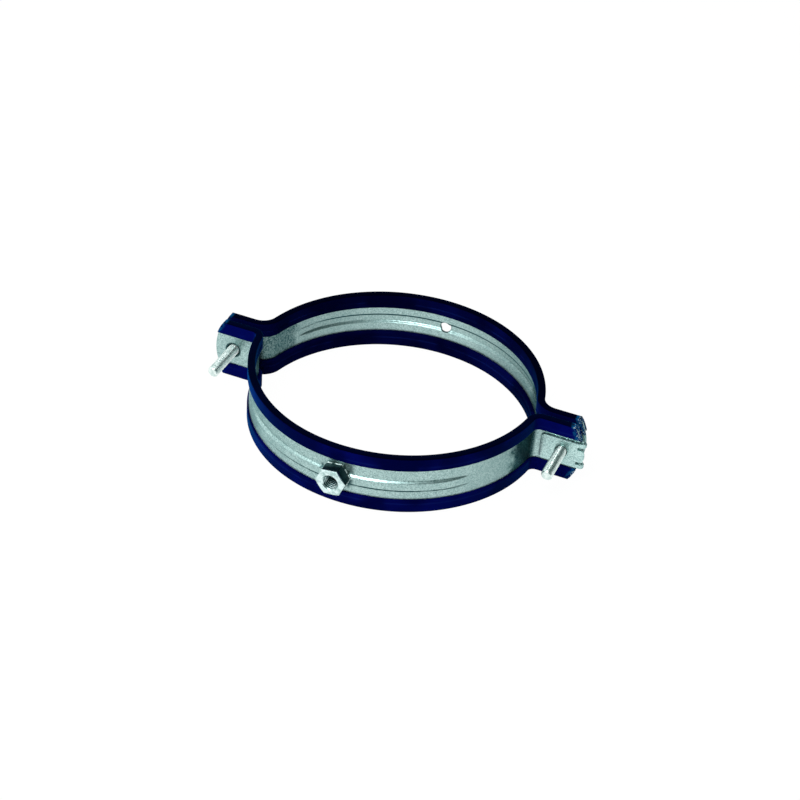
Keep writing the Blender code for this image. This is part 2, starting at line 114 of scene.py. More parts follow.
# Screws, washers and collar
SCREW_DIAMETER = 0.0060
SCREW_PITCH = 0.0010
SCREW_THREAD_DEPTH = 0.00055
SCREW_TIP = 0.0007
SCREW_HEAD_FLATS = 0.0100
SLOT_WIDTH = 0.0016
SLOT_DEPTH = 0.0018
THREAD_FADE = 0.0006
HEAD_OVERLAP = 0.0010         # shank inside its head
WASHER_EDGE = 0.0002
PASSAGE = 0.0070
COLLAR = 0.0086
COLLAR_LENGTH = 0.0022
COLLAR_BORE = 0.0064
COLLAR_MOUTH = 0.0012
MOUTH_PROUD = 0.00005         # lets the mouth's round meet the ear's face at an angle

# Hooked lock plate
PLATE_HEIGHT = 0.0150
PLATE_CORNER = 0.0022
PLATE_EDGE = 0.0003
TONGUE_HEIGHT = 0.0072
TONGUE_REACH = 0.0022         # tongue's tip past the ear's end
TONGUE_END_RADIUS = 0.0080
NOTCH = 0.0018
NOTCH_BEHIND_END = 0.0018
HOOK_CLEARANCE = 0.0003
HOOK_STEPS = 20
HOOK_RETURN = 0.0024

# Fineness
ARC_STEPS = 190
BEND_STEPS = 14
EAR_STEPS = 10
SLOPE_STEPS = 10
FLAT_STEPS = 5                # from the bead's foot to the band's edge
ROUND_SIDES = 64
THREAD_SIDES = 60
STEPS_PER_PITCH = 12
CUT_MARGIN = 0.0030
MERGE = 0.000001
SHARP = math.radians(32)      # least turn at an edge that is shaded sharp
EDGE_ANGLE = math.radians(40)  # and at one that is broken
SHEET_EDGE_ANGLE = math.radians(60)
HEX_EDGE_ANGLE = math.radians(25)

# The photograph's camera, about the ring's middle
CAMERA_AZIMUTH = math.radians(20.292)
CAMERA_ELEVATION = math.radians(36.209)
CAMERA_ROLL = math.radians(-4.582)
CAMERA_DISTANCE = 0.9131
FOCAL_PIXELS = 1749.07
PRINCIPAL_PIXEL = (394.56, 395.78)
IMAGE_PIXELS = 800
SENSOR_MM = 36.0

# Soft lights: direction from the clamp, distance, size and watts
LIGHTS = {
    "key": ((-0.07, -0.525, 0.85), 1.10, (0.46, 0.34), 4.6),
    "overhead_panel": ((-0.33, 0.0, 0.94), 1.20, (2.60, 1.80), 17.0),
    "left_panel": ((-0.94, -0.10, 0.30), 1.20, (1.40, 0.50), 2.9),
    "low_panel": ((-0.28, -0.93, 0.21), 1.20, (1.30, 0.53), 3.2),
}
STUDIO = (0.06, 0.10, 0.10)   # faint light from all round
FLOOR_WHITE = 0.96            # share of plain white in what is seen of the floor
FLOOR_STRENGTH = 1.02
FLOOR_HALF = 4.0
FLOOR_BELOW = 0.0003

# Colours and bump depths of the finishes
ZINC_DULL = (0.29, 0.45, 0.44)
ZINC_PALE = (0.52, 0.71, 0.685)
ZINC_DARK = (0.0015, 0.048, 0.056)
ZINC_GRAZING = (0.20, 0.34, 0.36)
# dark teal of the painted shade on the plated pieces
SHADE_PAINT = (0.005, 0.046, 0.056)
PLATE_TONE = 1.25             # the lock plate is paler than the bands
ZINC_BUMP = 0.00003
PLATING_BUMP = 0.00001
WELD_BUMP = 0.00006
RUBBER_BUMP = 0.00003

# Marks on the zinc, most of them painted shade: a pair runs from where a mark is full to where it is gone
CREASE_WIDTH = (0.0004, 0.0008)
CREASE_OUT = 0.0001           # middle of the line, out from the bead's foot
CREASE_FADE = 0.014
SEAM_WIDTH = (0.00025, 0.00055)
SEAM_START = 0.0001
SEAM_RISE = 0.0005            # up the lock plate's edge
HEAT_REACH = (0.0082, 0.0108)
HEAT_WAVER = 0.0040
FUNNEL_SHADE = (0.0042, 0.0048)
SCREW_SHADE = (0.0031, 0.0036)
END_FADE = 0.0020
END_WAVER = 0.005
# Painted shade towards the ends of the bands: face, side, where each begins, is full and ends, and its
# strength
FRONT_END_SHADE = (
    ("outer", 1, 0.045, 0.076, 0.0778, 0.30),
    ("outer", 1, 0.071, 0.0750, 0.0778, 1.1),
    ("outer", -1, 0.072, 0.0755, 0.0778, 0.25),
    ("inner", -1, 0.071, 0.0755, 0.0790, 1.0),
)
REAR_END_SHADE = (
    ("inner", -1, 0.020, 0.072, 0.0830, 0.40),
    ("inner", -1, 0.067, 0.0715, 0.0830, 0.80),
    ("inner", 1, 0.0, 0.055, 0.0830, 0.50),
    ("inner", 1, 0.055, 0.0660, 0.0830, 0.90),
)

# Read from the frame
NUT_LOW, NUT_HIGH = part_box("connection_nut")
PLATE_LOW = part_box("lock_plate")[0]
WASHER_LOW, WASHER_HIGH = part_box("right_washer")
FRONT_EAR_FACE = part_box("front_upper_rubber")[1].y
REAR_EAR_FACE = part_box("rear_upper_rubber")[0].y
SPLIT = (FRONT_EAR_FACE + REAR_EAR_FACE) / 2
CLAMP = Vector(((NUT_LOW.x + NUT_HIGH.x) / 2, SPLIT, (NUT_LOW.z + NUT_HIGH.z) / 2))

# Worked out, in the clamp's own frame, about its middle on the split plane
HALF_SHEET = BAND_THICKNESS / 2
SEAT_GAP = 0.0002
EAR_LINE = FRONT_EAR_FACE - CLAMP.y - INNER_LIP - SEAT_GAP - HALF_SHEET
EAR_FRONT = EAR_LINE - HALF_SHEET
EAR_BACK = EAR_LINE + HALF_SHEET
EAR_END = CLAMP.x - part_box("front_band")[0].x
SCREW_X = (WASHER_LOW.x + WASHER_HIGH.x) / 2 - CLAMP.x
TRIM_TOP = BAND_WIDTH / 2 + SEAT_GAP + WEB
TO_CLAMP = Matrix.Translation(CLAMP)
QUARTER = math.pi / 2
HALF_TURN = Matrix.Rotation(math.pi, 4, "Z")
ALONG_Y = Matrix.Rotation(-QUARTER, 4, "X")
FACING_OUT = Matrix.Rotation(QUARTER, 4, "X")


def operators(operation):
    """An operator on values and its reflected form, each of which adds a Math node."""
    def plain(value, other):
        return value.graph.math(operation, value, other)

    def reflected(value, other):
        return value.graph.math(operation, other, value)

    return plain, reflected


def pick(sockets, name):
    """A node's socket by its identifier, or else by its name."""
    shown = [s for s in sockets if s.name == name and s.enabled]
    return ([s for s in sockets if s.identifier == name] or shown)[0]


class Value:
    """A node's output that takes part in sums: an expression on it adds its Math nodes."""

    def __init__(self, graph, socket):
        self.graph = graph
        self.socket = socket

    def __getitem__(self, name):
        return Value(self.graph, pick(self.socket.node.outputs, name))

    __add__, __radd__ = operators("ADD")
    __sub__, __rsub__ = operators("SUBTRACT")
    __mul__, __rmul__ = operators("MULTIPLY")
    __truediv__, __rtruediv__ = operators("DIVIDE")

    def __abs__(self):
        return self.graph.math("ABSOLUTE", self)


class Graph:
    """Adds nodes to a shader tree or a Geometry Nodes tree."""

    def __init__(self, tree):
        self.tree = tree

    def node(self, kind, sockets=None, **settings):
        """A node of any kind: its settings are set first, then the values or links of its sockets."""
        made = self.tree.nodes.new(kind)
        for name, value in settings.items():
            setattr(made, name, value)
        for name, value in (sockets or {}).items():
            self.feed(made, name, value)
        shown = [s for s in made.outputs if s.enabled]
        return Value(self, shown[0] if shown else None)

    def feed(self, made, name, value):
        """Links a value to a socket, or sets the socket to a number, or to a colour of three numbers."""
        socket = made.inputs[name] if isinstance(name, int) else pick(made.inputs, name)
        if isinstance(value, Value):
            self.tree.links.new(value.socket, socket)
        else:
            socket.default_value = (*value, 1.0) if isinstance(value, tuple) else value

    def math(self, operation, *values):
        return self.node("ShaderNodeMath", dict(enumerate(values)), operation=operation)

    def ramp(self, value, low, high, way="LINEAR"):
        """Goes evenly from 0 at low to 1 at high."""
        sockets = {"Value": value, "From Min": low, "From Max": high}
        return self.node("ShaderNodeMapRange", sockets, interpolation_type=way)

    def smooth(self, value, low, high):
        return self.ramp(value, low, high, "SMOOTHSTEP")

    def noise(self, vector, scale, detail=2.0, roughness=0.5):
        sockets = {"Vector": vector, "Scale": scale, "Detail": detail, "Roughness": roughness}
        return self.node("ShaderNodeTexNoise", sockets)

    def mixed(self, factor, first, second):
        sockets = {"Factor_Float": factor, "A_Color": first, "B_Color": second}
        return self.node("ShaderNodeMix", sockets, data_type="RGBA")["Result_Color"]

    def split(self, vector):
        return self.node("ShaderNodeSeparateXYZ", {"Vector": vector})

    def joined(self, x, y, z):
        return self.node("ShaderNodeCombineXYZ", {"X": x, "Y": y, "Z": z})

    def length(self, first, second):
        return self.math("SQRT", first * first + second * second)


class Finish(Graph):
    """A Principled material and its node tree, with places measured from the clamp's middle."""

    def __init__(self, name, **constants):
        self.material = bpy.data.materials.new(name)
        self.material.use_nodes = True
        super().__init__(self.material.node_tree)
        self.shader = self.tree.nodes["Principled BSDF"]
        for socket, value in constants.items():
            self.feed(self.shader, socket.replace("_", " "), value)
        self.place = self.node("ShaderNodeTexCoord")["Object"]
        place = self.split(self.place)
        self.x = place["X"] - CLAMP.x
        self.y = place["Y"] - CLAMP.y
        self.up = place["Z"] - CLAMP.z

    def surface(self, base, roughness, height, depth):
        self.feed(self.shader, "Base Color", base)
        self.feed(self.shader, "Roughness", roughness)
        bump = self.node("ShaderNodeBump", {"Strength": 1.0, "Distance": depth, "Height": height})
        self.feed(self.shader, "Normal", bump)
        return self.material

    def from_axis(self, x):
        """Distance from an axis along Y at the clamp's middle height."""
        return self.length(self.x - x, self.up)


class Galvanised(Finish):
    """Spangled zinc on pressed sheet, with random dark spots, and the heat marks and painted shade that a
    piece asks for.
    """

    def __init__(self, name):
        super().__init__(name, Metallic=0.85, Specular_Tint=ZINC_GRAZING)
        self.grain = self.noise(self.place, 2900.0, 2.0, 0.75)
        self.cloud = self.noise(self.place, 80.0, 3.0)
        self.worn = self.noise(self.place, 210.0, 2.0)
        self.spots = self.smooth(self.noise(self.place, 2100.0, 1.0), 0.50, 0.66)
        self.speckle = self.smooth(self.noise(self.place, 1400.0, 2.0), 0.42, 0.62)
        # dark sums the zinc's own dark spots and heat marks with painted shade
        self.dark = 0.34 * self.spots

    def mark(self, mask):
        self.dark = self.math("MAXIMUM", self.dark, mask)

    def mark_crease_shade(self, half, side, wear):
        """Painted shade: a dark line along one foot of the bead, broken in places as much as wear asks."""
        ends = BAND_RADIUS * math.sin(half.bead_end)
        on_bead = 1.0 - self.smooth(abs(self.x), ends - CREASE_FADE, ends)
        kept = 1.0 - wear * (1.0 - self.smooth(self.worn, 0.36, 0.48))
        away = abs(self.up - half.bead_middle - side * (half.bead_foot / 2 + CREASE_OUT))
        self.mark((1.0 - self.smooth(away, *CREASE_WIDTH)) * on_bead * kept * 0.95)

    def mark_end_shade(self, face, side, begins, full, ends, strength):
        """Painted shade, darker and speckled, on one face towards an end of the sheet, as far as its bend
        reaches.
        """
        inner = self.node("ShaderNodeAttribute", attribute_name="inner_face")["Fac"]
        on_face = inner if face == "inner" else 1.0 - inner
        along = side * self.x + END_WAVER * (self.worn - 0.5)
        zone = self.smooth(along, begins, full)
        zone = zone * (1.0 - self.smooth(side * self.x, ends, ends + END_FADE))
        self.mark(on_face * zone * strength * (0.75 + 0.40 * self.speckle))

    def mark_round_shade(self, x, low, high, strength):
        """Painted shade round a hole, or on its wall."""
        self.mark((1.0 - self.smooth(self.from_axis(x), low, high)) * strength)

    def mark_weld(self):
        away = self.from_axis(0.0) + HEAT_WAVER * (self.worn - 0.5)
        self.mark((1.0 - self.smooth(away, *HEAT_REACH)) * self.smooth(self.worn, 0.42, 0.62) * 0.9)

    def past_plate(self):
        """Distance outside the lock plate's outline, round its corners."""
        past = self.math("MAXIMUM", PLATE_LOW.x - CLAMP.x + PLATE_CORNER - self.x, 0.0)
        over = self.math("MAXIMUM", abs(self.up) - (PLATE_HEIGHT / 2 - PLATE_CORNER), 0.0)
        return self.length(past, over) - PLATE_CORNER

    def mark_seam(self, behind):
        """Painted shadow: a broken dark line where the lock plate lies on the ear, behind a place across the
        sheet.
        """
        near = 1.0 - self.smooth(abs(self.past_plate()), *SEAM_WIDTH)
        broken = self.smooth(self.noise(self.place, 900.0, 0.0), 0.38, 0.50)
        self.mark(near * broken * self.smooth(self.y, behind, behind + SEAM_START) * 0.75)

    def done(self, tone=1.0):
        spangle = self.node("ShaderNodeTexVoronoi", {"Vector": self.place, "Scale": 1800.0})
        flake = self.split(spangle["Color"])["X"]
        mottle = 0.50 * self.grain + 0.30 * flake + 0.20 * self.cloud
        dull, pale = (tuple(tone * part for part in shade) for shade in (ZINC_DULL, ZINC_PALE))
        base = self.mixed(self.smooth(mottle, 0.32, 0.68), dull, pale)
        base = self.mixed(self.dark, base, ZINC_DARK)
        roughness = 0.22 + 0.12 * self.grain + 0.06 * flake + 0.10 * self.dark
        height = 0.6 * self.grain + 0.3 * flake - 0.6 * self.dark
        return self.surface(base, roughness, height, ZINC_BUMP)


class Plated(Finish):
    """Bright, patchy zinc plating, with the painted shade that a piece asks for."""

    def __init__(self, name, pale, dull):
        super().__init__(name, Metallic=0.9)
        self.grain = self.noise(self.place, 2600.0, 3.0, 0.6)
        self.cloud = self.noise(self.place, 430.0, 3.0)
        self.base = self.mixed(self.smooth(self.cloud, 0.36, 0.62), dull, pale)

    def paint_shade(self, mask):
        self.base = self.mixed(mask, self.base, SHADE_PAINT)

    def done(self):
        roughness = 0.16 + 0.12 * self.grain + 0.06 * self.cloud
        return self.surface(self.base, roughness, self.grain, PLATING_BUMP)


def screw_plating(name, axis, tip, root, crest):
    """Screw's plating: painted shade in its thread's grooves, but none near its tip."""
    finish = Plated(name, (0.86, 0.97, 0.94), (0.62, 0.76, 0.73))
    deep = 1.0 - finish.smooth(finish.from_axis(axis), root, crest)
    finish.paint_shade(0.55 * deep * finish.smooth(finish.y, tip + SCREW_TIP, tip + 2 * SCREW_TIP))
    return finish.done()


def nut_plating(face, core):
    """Rod nut's plating: painted shade deep in the tapped hole and on its flats."""
    finish = Plated("nut_plating", (0.78, 0.96, 0.95), (0.42, 0.60, 0.58))
    away = finish.from_axis(0.0)
    # painted shade deep in the tapped hole
    hole = 1.0 - finish.smooth(away, COUNTERSINK / 2 - 0.0002, COUNTERSINK / 2)
    groove = finish.smooth(away, core + 0.0001, core + 0.0003)
    within = hole * finish.smooth(finish.y, face + 0.0005, face + 0.0012)
    depth = finish.smooth(finish.y, face + 0.0026, face + 0.0058)
    finish.paint_shade(within * finish.math("MAXIMUM", 0.9 * depth, groove))
    # painted shade on the flats
    flats = finish.smooth(away, 0.0064, 0.0068) * finish.smooth(finish.y, face + 0.0006, face + 0.0010)
    finish.paint_shade(0.97 * flats)
    return finish.done()


def washer_plating():
    return Plated("washer_plating", (0.80, 0.92, 0.90), (0.58, 0.72, 0.70)).done()


def weld_metal():
    """Thin bead of weld, pale with dark, heat-marked patches."""
    finish = Finish("weld_bead", Metallic=0.9)
    grain = finish.noise(finish.place, 1700.0, 4.0, 0.6)
    heat = finish.noise(finish.place, 330.0, 2.0)
    base = finish.mixed(finish.smooth(heat, 0.38, 0.56), (0.03, 0.08, 0.075), (0.56, 0.70, 0.68))
    return finish.surface(base, 0.34 + 0.2 * grain, grain, WELD_BUMP)


def navy_rubber(name, depth, sheen):
    """Extruded rubber: painted light makes it bluer towards the bends, painted shade near black on its web
    and a painted highlight along the rib; teal and crumbly where it is cut. A lower depth darkens it all as
    painted shade.
    """
    finish = Finish(name, Specular_IOR_Level=0.0, Sheen_Weight=sheen, Sheen_Roughness=0.35,
                    Sheen_Tint=(0.008, 0.15, 0.50))
    cut = finish.node("ShaderNodeAttribute", attribute_name="cut_end")["Fac"]
    grain = finish.noise(finish.place, 2400.0, 3.0, 0.6)
    cloud = finish.noise(finish.place, 48.0, 2.0)
    drawn = finish.noise(finish.joined(0.0, 0.0, finish.up), 2600.0, 2.0)
    patch = finish.smooth(finish.noise(finish.place, 520.0, 2.0), 0.36, 0.58)
    crumbs = finish.smooth(finish.noise(finish.place, 1500.0, 2.0), 0.57, 0.64)
    deep = (0.0004, 0.0005, 0.036 * depth)
    lit = (0.0010, 0.0020, 0.090 * depth)
    base = finish.mixed(finish.smooth(cloud, 0.38, 0.70), deep, lit)
    # painted light: brighter blue towards the bends
    bend_light = finish.smooth(abs(finish.x), 0.068, 0.080)
    base = finish.mixed(0.5 * bend_light, base, (0.0012, 0.0030, 0.120 * depth))
    # painted highlight along the inner lip's rib
    from_rib = abs(abs(finish.up) - TRIM_TOP + RIB_FROM_TOP)
    rib_highlight = (1.0 - finish.smooth(from_rib, 0.0002, 0.0006)) * finish.smooth(cloud, 0.42, 0.60)
    base = finish.mixed(0.35 * rib_highlight, base, (0.006, 0.014, 0.14))
    # painted shade: the top web near black
    web = finish.smooth(abs(finish.up), TRIM_TOP - 0.0006, TRIM_TOP - 0.0002)
    base = finish.mixed(0.92 * web, base, (0.0002, 0.0002, 0.003))
    base = finish.mixed(finish.smooth(cut, 0.05, 0.40) * patch * 0.9, base, (0.004, 0.07, 0.20))
    white = finish.smooth(cut, 0.68, 0.92) * crumbs
    base = finish.mixed(white, base, (0.55, 0.74, 0.78))
    roughness = 0.42 + 0.14 * grain + 0.10 * drawn + 0.2 * cut
    height = 0.5 * grain + 0.6 * drawn + 1.5 * cut * crumbs
    return finish.surface(base, roughness, height, RUBBER_BUMP)


class Tree(Graph):
    """A Geometry Nodes tree with named inputs, which ends in Realize Instances and Set Material."""

    def __init__(self, name, inputs):
        super().__init__(bpy.data.node_groups.new(name, "GeometryNodeTree"))
        sides = self.tree.interface
        sides.new_socket("Geometry", in_out="OUTPUT", socket_type="NodeSocketGeometry")
        self.names = {}
        for label, kind in {"Geometry": "Geometry", **inputs, "Finish": "Material"}.items():
            socket = sides.new_socket(label, in_out="INPUT", socket_type="NodeSocket" + kind)
            self.names[label] = socket.identifier
        self.group = self.node("NodeGroupInput")

    def __getitem__(self, label):
        return self.group[self.names[label]]

    def close(self, geometry):
        real = self.node("GeometryNodeRealizeInstances", {"Geometry": geometry})
        sockets = {"Geometry": real, "Material": self["Finish"]}
        dressed = self.node("GeometryNodeSetMaterial", sockets)
        self.node("NodeGroupOutput", {"Geometry": dressed})
        return self

    def put_on(self, obj, **values):
        step = obj.modifiers.new(self.tree.name, "NODES")
        step.node_group = self.tree
        for label, value in values.items():
            step[self.names[label.replace("_", " ")]] = value


def floats(*names):
    return {name: "Float" for name in names}


def pressed_bead_tree():
    """Raises a bead along the middle of a half band, about the arc's axis, and lets it run out."""
    tree = Tree("pressed_bead", floats("Arc Y", "Middle", "Height", "Crown", "Foot", "End", "Runout"))
    place = tree.split(tree.node("GeometryNodeInputPosition"))
    out_y = place["Y"] - tree["Arc Y"]
    from_apex = tree.math("ARCTAN2", abs(place["X"]), 0.0 - out_y)
    across = tree.ramp(abs(place["Z"] - tree["Middle"]), tree["Foot"] / 2.0, tree["Crown"] / 2.0)
    across = 0.6 * across + 0.4 * tree.smooth(across, 0.0, 1.0)
    along = tree.smooth(from_apex, tree["End"], tree["End"] - tree["Runout"])
    lift = tree["Height"] * across * along / tree.length(place["X"], out_y)
    offset = tree.joined(place["X"] * lift, out_y * lift, 0.0)
    sockets = {"Geometry": tree["Geometry"], "Offset": offset}
    return tree.close(tree.node("GeometryNodeSetPosition", sockets))


def drawn_trim_tree():
    """Draws a section along a path from ear to ear, rounds its ends with the ears' and crumbles the cuts."""
    sizes = floats("Ear From", "Ear End", "End Radius", "Cut Length", "Crumble", "Worn End", "Waver", "Seed")
    tree = Tree("drawn_trim", {"Path": "Object", "Section": "Object", **sizes})
    path = tree.node("GeometryNodeObjectInfo", {"Object": tree["Path"]})["Geometry"]
    section = tree.node("GeometryNodeObjectInfo", {"Object": tree["Section"]})["Geometry"]
    path = tree.node("GeometryNodeSetCurveNormal", {"Curve": path}, mode="Z_UP")
    along = tree.node("GeometryNodeSplineParameter")
    whole = tree.node("GeometryNodeSplineLength")["Length"]
    to_end = tree.math("MINIMUM", along["Length"], whole - along["Length"])
    wear = 1.0 - 0.6 * abs(along["Factor"] - tree["Worn End"])
    cut = wear * tree.smooth(to_end, tree["Cut Length"], 0.0)
    sockets = {"Geometry": path, "Name": "cut_end", "Value": cut}
    path = tree.node("GeometryNodeStoreNamedAttribute", sockets, data_type="FLOAT", domain="POINT")
    sockets = {"Curve": path, "Profile Curve": section, "Fill Caps": True}
    drawn = tree.node("GeometryNodeCurveToMesh", sockets)
    position = tree.node("GeometryNodeInputPosition")
    place = tree.split(position)
    on_ear = tree.ramp(abs(place["X"]), tree["Ear From"], tree["Ear End"])
    radius = tree["End Radius"]
    round_end = radius - tree.math("SQRT", radius * radius - place["Z"] * place["Z"])
    sockets = {0: position, 1: tree.joined(0.0, 0.0, tree["Seed"])}
    shifted = tree.node("ShaderNodeVectorMath", sockets, operation="ADD")
    slow = tree.split(tree.noise(shifted, 55.0, 1.0)["Color"])
    fast = tree.split(tree.noise(shifted, 950.0, 2.0)["Color"])
    rough = tree.node("GeometryNodeInputNamedAttribute", {"Name": "cut_end"}, data_type="FLOAT")
    rough = rough * tree["Crumble"]
    waver = tree["Waver"]
    inward = round_end * on_ear + (fast["X"] - 0.5) * rough
    offset = tree.joined((slow["X"] - 0.5) * waver - tree.math("SIGN", place["X"]) * inward,
                         (slow["Y"] - 0.5) * waver + CRUMBLE_ACROSS * (fast["Y"] - 0.5) * rough,
                         (slow["Z"] - 0.5) * waver + (fast["Z"] - 0.5) * rough)
    return tree.close(tree.node("GeometryNodeSetPosition", {"Geometry": drawn, "Offset": offset}))


def cut_thread_tree():
    """Cuts a right-hand thread about an axis along Y: inwards into a rod, or outwards into a hole."""
    sizes = floats("Axis X", "Axis Z", "Crest Radius", "Pitch", "Depth", "From", "To", "Fade", "Outwards")
    tree = Tree("cut_thread", sizes)
    place = tree.split(tree.node("GeometryNodeInputPosition"))
    across = place["X"] - tree["Axis X"]
    up = place["Z"] - tree["Axis Z"]
    radius = tree.length(across, up)
    turns = tree.math("ARCTAN2", across, up) / math.tau
    phase = tree.math("FRACT", place["Y"] / tree["Pitch"] - turns)
    groove = tree.ramp(abs(2.0 * phase - 1.0), 0.125, 0.80)
    begun = tree.smooth(place["Y"], tree["From"], tree["From"] + tree["Fade"])
    ended = tree.smooth(place["Y"], tree["To"], tree["To"] - tree["Fade"])
    way = tree["Outwards"]
    limit = tree["Crest Radius"] + way * tree["Depth"] * groove * begun * ended
    threaded = tree.math("GREATER_THAN", place["Y"], tree["From"])
    threaded = threaded * tree.math("LESS_THAN", place["Y"], tree["To"])
    limit = limit - way * (1.0 - threaded)
    cut = way * tree.math("MAXIMUM", way * radius, way * limit)
    share = cut / tree.math("MAXIMUM", radius, MERGE)
    moved = tree.joined(tree["Axis X"] + across * share, place["Y"], tree["Axis Z"] + up * share)
    sockets = {"Geometry": tree["Geometry"], "Position": moved}
    return tree.close(tree.node("GeometryNodeSetPosition", sockets))


def weld_bead_tree():
    """Overlapping lumps along a path, melted into one bead."""
    sizes = floats("Lump Size", "Spacing", "Voxel")
    tree = Tree("weld_bead", {"Path": "Object", **sizes, "Seed": "Int"})
    path = tree.node("GeometryNodeObjectInfo", {"Object": tree["Path"]})["Geometry"]
    sockets = {"Curve": path, "Length": tree["Spacing"]}
    points = tree.node("GeometryNodeResampleCurve", sockets, mode="LENGTH")
    sockets = {"Radius": tree["Lump Size"], "Subdivisions": 3}
    lump = tree.node("GeometryNodeMeshIcoSphere", sockets)
    sockets = {"Min_001": 0.75, "Max_001": 1.15, "Seed": tree["Seed"]}
    size = tree.node("FunctionNodeRandomValue", sockets, data_type="FLOAT")["Value_001"]
    sockets = {"Points": points, "Instance": lump, "Scale": size}
    lumps = tree.node("GeometryNodeInstanceOnPoints", sockets)
    solid = tree.node("GeometryNodeRealizeInstances", {"Geometry": lumps})
    sockets = {"Mesh": solid, "Voxel Size": tree["Voxel"], "Interior Band Width": tree["Lump Size"]}
    volume = tree.node("GeometryNodeMeshToVolume", sockets, resolution_mode="VOXEL_SIZE")
    melted = tree.node("GeometryNodeVolumeToMesh", {"Volume": volume, "Threshold": 0.1})
    return tree.close(tree.node("GeometryNodeSetShadeSmooth", {"Geometry": melted}))


def linked(name, data):
    obj = bpy.data.objects.new(name, data)
    bpy.context.scene.collection.objects.link(obj)
    return obj


def drop(*objects):
    for obj in objects:
        bpy.data.objects.remove(obj, do_unlink=True)


def add_mesh(name, mesh, material=None):
    obj = linked(name, mesh)
    if material:
        mesh.materials.clear()
        mesh.materials.append(material)
    return obj


def mesh_from(bm, name, place=Matrix.Identity(4)):
    mesh = bpy.data.meshes.new(name)
    bmesh.ops.remove_doubles(bm, verts=bm.verts, dist=MERGE)
    bmesh.ops.recalc_face_normals(bm, faces=bm.faces)
    bm.to_mesh(mesh)
    bm.free()
    mesh.transform(place)
    return mesh


def baked(obj, material=None):
    """Turns an object and its modifiers into a plain mesh object of the same name."""
    bpy.context.view_layer.update()
    shape = obj.evaluated_get(bpy.context.evaluated_depsgraph_get())
    mesh = bpy.data.meshes.new_from_object(shape)
    name = obj.name
    drop(obj)
    mesh.name = name
    return add_mesh(name, mesh, material)


def boolean(obj, operation, *others):
    for other in others:
        step = obj.modifiers.new(operation.lower(), "BOOLEAN")
        step.operation = operation
        step.object = other
    made = baked(obj)
    drop(*others)
    return made


def broken_edges(obj, width, angle=EDGE_ANGLE):
    step = obj.modifiers.new("broken_edges", "BEVEL")
    step.width = width
    step.segments = 2
    step.limit_method = "ANGLE"
    step.angle_limit = angle


def finished(obj, body, node, sharp=SHARP):
    """Gives a piece its shading and its body, and hides the CAD node that it stands for."""
    obj.data.shade_smooth()
    obj.data.set_sharp_from_angle(angle=sharp)
    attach(obj, body)
    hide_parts(node)


def arc(centre, radius, start, end, steps):
    angles = [start + (end - start) * i / steps for i in range(steps + 1)]
    return [(centre[0] + radius * math.cos(a), centre[1] + radius * math.sin(a)) for a in angles]


class Half:
    """Shape of one half band in front of the split plane. The rear one is turned round afterwards."""

    def __init__(self, arc_shift, bend, bead):
        self.arc_shift = arc_shift
        self.bend = bend
        self.bead_foot, self.bead_crown, self.bead_middle, self.bead_end = bead
        self.bend_y = EAR_LINE - bend
        rise = arc_shift - self.bend_y
        self.bend_x = math.sqrt((BAND_RADIUS + bend) ** 2 - rise ** 2)
        self.bend_angle = math.atan2(rise, self.bend_x)
        self.crown_y = arc_shift - BAND_RADIUS - HALF_SHEET - BEAD_HEIGHT

    def ear(self, reach):
        """Places along an ear, from its end to its bend."""
        return [reach + (self.bend_x - reach) * i / EAR_STEPS for i in range(EAR_STEPS)]

    def line(self, ear):
        """Middle line of the sheet from ear to ear."""
        left = [(-place, EAR_LINE) for place in ear]
        for step in range(BEND_STEPS):
            a = QUARTER - (QUARTER - self.bend_angle) * step / BEND_STEPS
            left.append((self.bend * math.cos(a) - self.bend_x, self.bend_y + self.bend * math.sin(a)))
        start, end = math.pi + self.bend_angle, math.tau - self.bend_angle
        ring = arc((0, self.arc_shift), BAND_RADIUS, start, end, ARC_STEPS)
        return left + ring + [(-x, y) for x, y in reversed(left)]


def band_rows(half_band):
    """Places across the band: close together on the bead's slopes."""
    foot, crown, edge = half_band.bead_foot / 2, half_band.bead_crown / 2, BAND_WIDTH / 2
    slope = [crown + (foot - crown) * i / SLOPE_STEPS for i in range(SLOPE_STEPS + 1)]
    flat = [foot + (edge - foot) * i / FLAT_STEPS for i in range(1, FLAT_STEPS + 1)]
    half = [0.0, crown / 2] + slope + flat
    rows = [-z for z in reversed(half[1:])] + half
    return [z + half_band.bead_middle * min(1.0, (edge - abs(z)) / (edge - foot)) for z in rows]


def band_sheet(name, half, material):
    """Strip along the half's line with round ends, given its wall, then its bead, pressed in by its tree."""
    rows = band_rows(half)
    round_end = [EAR_END_RADIUS - math.sqrt(EAR_END_RADIUS ** 2 - z ** 2) for z in rows]
    bm = bmesh.new()
    grid = []
    for x, y in half.line(half.ear(EAR_END)):
        on_ear = max(0.0, (abs(x) - half.bend_x) / (EAR_END - half.bend_x))
        grid.append([bm.verts.new((x - math.copysign(d * on_ear, x), y, z)) for z, d in zip(rows, round_end)])
    for row, following in zip(grid, grid[1:]):
        for k in range(len(rows) - 1):
            bm.faces.new((row[k], following[k], following[k + 1], row[k + 1]))
    mesh = bpy.data.meshes.new(name)
    bm.to_mesh(mesh)
    bm.free()
    obj = add_mesh(name, mesh)
    wall = obj.modifiers.new("sheet", "SOLIDIFY")
    wall.thickness = BAND_THICKNESS
    wall.offset = 0.0
    wall.use_even_offset = True
    wall.use_quality_normals = True
    PRESSED_BEAD.put_on(obj, Arc_Y=half.arc_shift, Middle=half.bead_middle, Height=BEAD_HEIGHT,
                        Crown=half.bead_crown, Foot=half.bead_foot, End=half.bead_end,
                        Runout=BEAD_RUNOUT, Finish=material)
    broken_edges(obj, SHEET_EDGE, SHEET_EDGE_ANGLE)
    return baked(obj)


